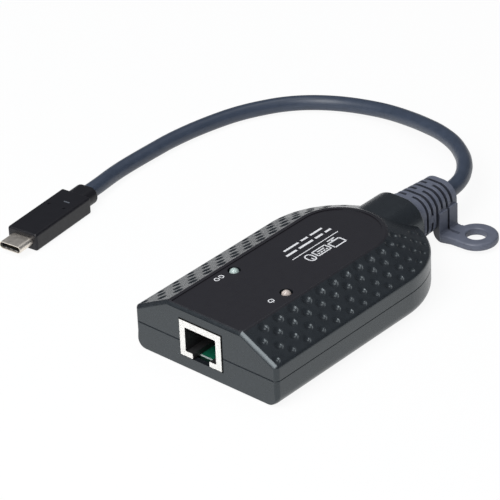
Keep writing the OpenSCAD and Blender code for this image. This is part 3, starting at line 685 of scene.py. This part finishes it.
def body_form():
    """Plain block round the strain relief's body and the strap's upright part."""
    half_w, half_h, r = 7.7, 11.0, 0.5
    sections = [(y, half_w, half_h, r) for y in (24.0, RELIEF_END + 1)]
    return bar_form("body_form", sections, Matrix.Translation((0, 0, CORD_H)))


# Modifiers of the CAD nodes

def add_boolean(obj, other, operation):
    m = obj.modifiers.new("cut", "BOOLEAN")
    m.operation = operation
    m.solver = "EXACT"
    m.object = other


def finish_edges(obj, angle=40):
    """Sharp edges stay sharp and the faces between them are shaded smoothly."""
    split = obj.modifiers.new("edges", "EDGE_SPLIT")
    split.split_angle = math.radians(angle)
    weighted = obj.modifiers.new("normals", "WEIGHTED_NORMAL")
    weighted.keep_sharp = True


def weld(obj):
    m = obj.modifiers.new("weld", "WELD")
    m.merge_threshold = 2e-6


def bevel(obj, width, segments=3):
    m = obj.modifiers.new("bevel", "BEVEL")
    m.width = width * MM
    m.segments = segments
    m.limit_method = "ANGLE"
    m.angle_limit = math.radians(30)


def dress_covers():
    skin = make_skin()
    neck = make_neck()
    add_boolean(skin, neck, "UNION")
    for name in ("top_cover", "bottom_cover"):
        weld(nodes[name])
        add_boolean(nodes[name], skin, "INTERSECT")
        finish_edges(nodes[name], 28)
    hide_tool(neck)
    hide_tool(skin)


def dress_relief():
    ring = make_ring()
    body = body_form()
    add_boolean(body, ring, "UNION")
    relief = nodes["strain_relief"]
    weld(relief)
    bevel(relief, 0.32)
    add_boolean(relief, body, "INTERSECT")
    finish_edges(relief)
    hide_tool(ring)
    hide_tool(body)


def dress_plug():
    grip, collar = make_grip()
    add_boolean(grip, collar, "UNION")
    obj = nodes["plug_grip"]
    weld(obj)
    add_boolean(obj, grip, "INTERSECT")
    finish_edges(obj)
    hide_tool(collar)
    hide_tool(grip)


def dress_metal():
    for name, width in (("jack_shield", 0.08), ("plug_shell", 0.06)):
        weld(nodes[name])
        bevel(nodes[name], width, 2)
        finish_edges(nodes[name])


dress_covers()
dress_relief()
dress_plug()
dress_metal()


# Printed marks

PRINT_T = 0.03
PRINT_Z = LABEL_Z + 0.01
MARK_Z = 6.17


def print_piece(name, shapes, z=PRINT_Z, material="print"):
    """Thin raised print from closed outlines given as lists of (x, y) in millimetres."""
    bm = bmesh.new()
    for shape in shapes:
        low = [bm.verts.new((x, y, z)) for x, y in shape]
        high = [bm.verts.new((x, y, z + PRINT_T)) for x, y in shape]
        bm.faces.new(high)
        bm.faces.new(low[::-1])
        n = len(shape)
        for i in range(n):
            bm.faces.new((low[i], low[(i + 1) % n], high[(i + 1) % n], high[i]))
    bm.transform(Matrix.Scale(MM, 4))
    obj = link_mesh(name, bm, material, smooth=False)
    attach(obj, "root")
    return obj


def bar(a, b, w):
    """Straight stroke between two points."""
    ax, ay = a
    bx, by = b
    length = math.hypot(bx - ax, by - ay)
    nx, ny = -(by - ay) / length * w / 2, (bx - ax) / length * w / 2
    return [(ax + nx, ay + ny), (ax - nx, ay - ny), (bx - nx, by - ny), (bx + nx, by + ny)]


def closed_stroke(points, w):
    """Stroke round a closed outline."""
    return [bar(p, q, w) for p, q in zip(points, points[1:] + points[:1])]


def arc_stroke(cx, cy, r, w, a0, a1):
    """Stroke along an arc between two angles in degrees, made of short quads."""
    steps = 20
    inner = arc_points(cx, cy, r - w / 2, a0, a1, steps)
    outer = arc_points(cx, cy, r + w / 2, a0, a1, steps)
    return [[inner[i], outer[i], outer[i + 1], inner[i + 1]] for i in range(steps)]


def on_label(cx, cy, shapes):
    """Turns drawings with a to the reader's right and b up into the label's plane.

    On the label the reader's right is -Y and up is +X.
    """
    return [[(cx + b, cy - a) for a, b in shape] for shape in shapes]


def box_shape(a0, b0, a1, b1):
    return [(a0, b0), (a1, b0), (a1, b1), (a0, b1)]


def plug_mark():
    """Small grey dash with round ends across the top of the plug's grip."""
    cx, cy = -95.9, -19.9
    turn = math.radians(6.4)
    half_long, half_wide = 1.15, 0.3
    c, s = math.cos(turn), math.sin(turn)
    ends = arc_points(half_long - half_wide, 0, half_wide, -90, 90, 8)
    ends += arc_points(half_wide - half_long, 0, half_wide, 90, 270, 8)
    dash = [(cx + a * c - b * s, cy + a * s + b * c) for a, b in ends]
    return print_piece("plug_mark", [dash], z=MARK_Z, material="mark")


def screen_shapes():
    frame_line = closed_stroke([(-2.5, -0.9), (2.5, -0.9), (2.5, 2.0), (-2.5, 2.0)], 0.5)
    stand = [box_shape(-0.35, -2.0, 0.35, -1.1), box_shape(-1.6, -2.3, 1.6, -1.8)]
    return frame_line + stand


def keyboard_shapes():
    frame_line = closed_stroke([(-2.9, -1.5), (2.9, -1.5), (2.9, 1.3), (-2.9, 1.3)], 0.45)
    keys = [box_shape(a - 0.35, 0.17, a + 0.35, 0.73) for a in (-1.8, -0.6, 0.6, 1.8)]
    return frame_line + keys + [box_shape(-1.6, -0.75, 1.6, -0.3)]


def mouse_shapes():
    ends = arc_stroke(0, 0.6, 1.25, 0.45, 0, 180) + arc_stroke(0, -0.6, 1.25, 0.45, 180, 360)
    sides = [box_shape(-1.475, -0.6, -1.025, 0.6), box_shape(1.025, -0.6, 1.475, 0.6)]
    return ends + sides + [box_shape(-0.2, 0.3, 0.2, 1.5)]


def dash_row(half_high, dashes):
    """Row of plain dashes, each given by its start and its length."""
    return [box_shape(a, -half_high, a + w, half_high) for a, w in dashes]


def link_shapes():
    loops = arc_stroke(-0.95, 0, 0.75, 0.32, 40, 320) + arc_stroke(0.95, 0, 0.75, 0.32, -140, 140)
    return loops + [box_shape(-0.75, -0.16, 0.75, 0.16)]


def power_shapes():
    return arc_stroke(0, 0, 0.85, 0.32, 120, 420) + [box_shape(-0.16, 0.1, 0.16, 1.15)]


def printed_marks():
    """Generic signs: devices over a rule, two rows of dashes, joined links and a power sign by the lamps."""
    devices_x = 3.2
    rule = on_label(-0.2, 0, [box_shape(0.1, -0.16, 21.1, 0.16)])
    devices = on_label(devices_x, -5.2, screen_shapes())
    devices += on_label(devices_x, -11.6, keyboard_shapes())
    devices += on_label(devices_x, -16.8, mouse_shapes())
    print_piece("print_devices", rule + devices)
    upper = on_label(-2.9, 0, dash_row(0.42, ((0.2, 2.6), (4.0, 3.4), (8.6, 6.2), (16.0, 4.6))))
    lower = on_label(-5.3, 0, dash_row(0.38, ((1.6, 5.4), (8.2, 3.0), (12.4, 6.6))))
    print_piece("print_lines", upper + lower)
    print_piece("print_link", on_label(-10.6, -42.0, link_shapes()))
    print_piece("print_power", on_label(9.8, -42.2, power_shapes()))


printed_marks()
make_cord(plug_mark())


# Studio

def make_world():
    world = bpy.data.worlds.new("studio")
    scene.world = world
    world.use_nodes = True
    back = world.node_tree.nodes["Background"]
    back.inputs["Color"].default_value = (0.88, 0.92, 1.0, 1)
    back.inputs["Strength"].default_value = 0.17


def any_of(tree, sockets):
    """1 where any of the sockets is 1."""
    seen = sockets[0]
    for socket in sockets[1:]:
        seen = math_node(tree, "MAXIMUM", seen, socket)
    return seen


def floor_material():
    """Pale floor that looks white where it is seen straight or mirrored, and still takes a soft shadow."""
    glow_share = 0.92
    m = bpy.data.materials.new("floor")
    m.use_nodes = True
    tree = m.node_tree
    b = tree.nodes["Principled BSDF"]
    b.inputs["Base Color"].default_value = (0.88, 0.89, 0.9, 1)
    b.inputs["Roughness"].default_value = 0.7
    b.inputs["Specular IOR Level"].default_value = 0.1
    glow = tree.nodes.new("ShaderNodeEmission")
    glow.inputs["Color"].default_value = (1, 1, 1, 1)
    glow.inputs["Strength"].default_value = 1.0
    path = tree.nodes.new("ShaderNodeLightPath")
    kinds = ("Is Camera Ray", "Is Glossy Ray", "Is Transmission Ray")
    seen = any_of(tree, [path.outputs[kind] for kind in kinds])
    mix = tree.nodes.new("ShaderNodeMixShader")
    tree.links.new(math_node(tree, "MULTIPLY", seen, glow_share), mix.inputs["Fac"])
    tree.links.new(b.outputs["BSDF"], mix.inputs[1])
    tree.links.new(glow.outputs["Emission"], mix.inputs[2])
    tree.links.new(mix.outputs["Shader"], tree.nodes["Material Output"].inputs["Surface"])
    return m


def make_floor():
    size = 3.0
    drop = -0.2 * MM
    bm = bmesh.new()
    corners = [(-size, -size), (size, -size), (size, size), (-size, size)]
    bm.faces.new([bm.verts.new((x, y, drop)) for x, y in corners])
    mesh = bpy.data.meshes.new("floor")
    bm.to_mesh(mesh)
    bm.free()
    obj = bpy.data.objects.new("floor", mesh)
    scene.collection.objects.link(obj)
    mesh.materials.append(floor_material())


# Lamps in metres and watts: name, place, target, sides, power
LAMPS = [
    ("top_softbox", (0.02, -0.62, 0.92), (0, -0.02, 0), (0.8, 0.85), 12.8),
    ("overhead_softbox", (-0.12, 0.30, 1.0), (0, 0, 0), (0.4, 0.4), 1.4),
    ("front_fill", (0.3, -1.3, 0.6), (0, 0, 0), (0.9, 0.6), 3),
]


def make_lamps():
    for name, place, target, sides, power in LAMPS:
        data = bpy.data.lights.new(name, "AREA")
        data.shape = "RECTANGLE"
        data.size, data.size_y = sides
        data.energy = power
        obj = bpy.data.objects.new(name, data)
        scene.collection.objects.link(obj)
        obj.location = place
        obj.rotation_euler = (Vector(target) - Vector(place)).to_track_quat("-Z", "Y").to_euler()


make_world()
make_floor()
make_lamps()

scene.view_settings.view_transform = "Standard"
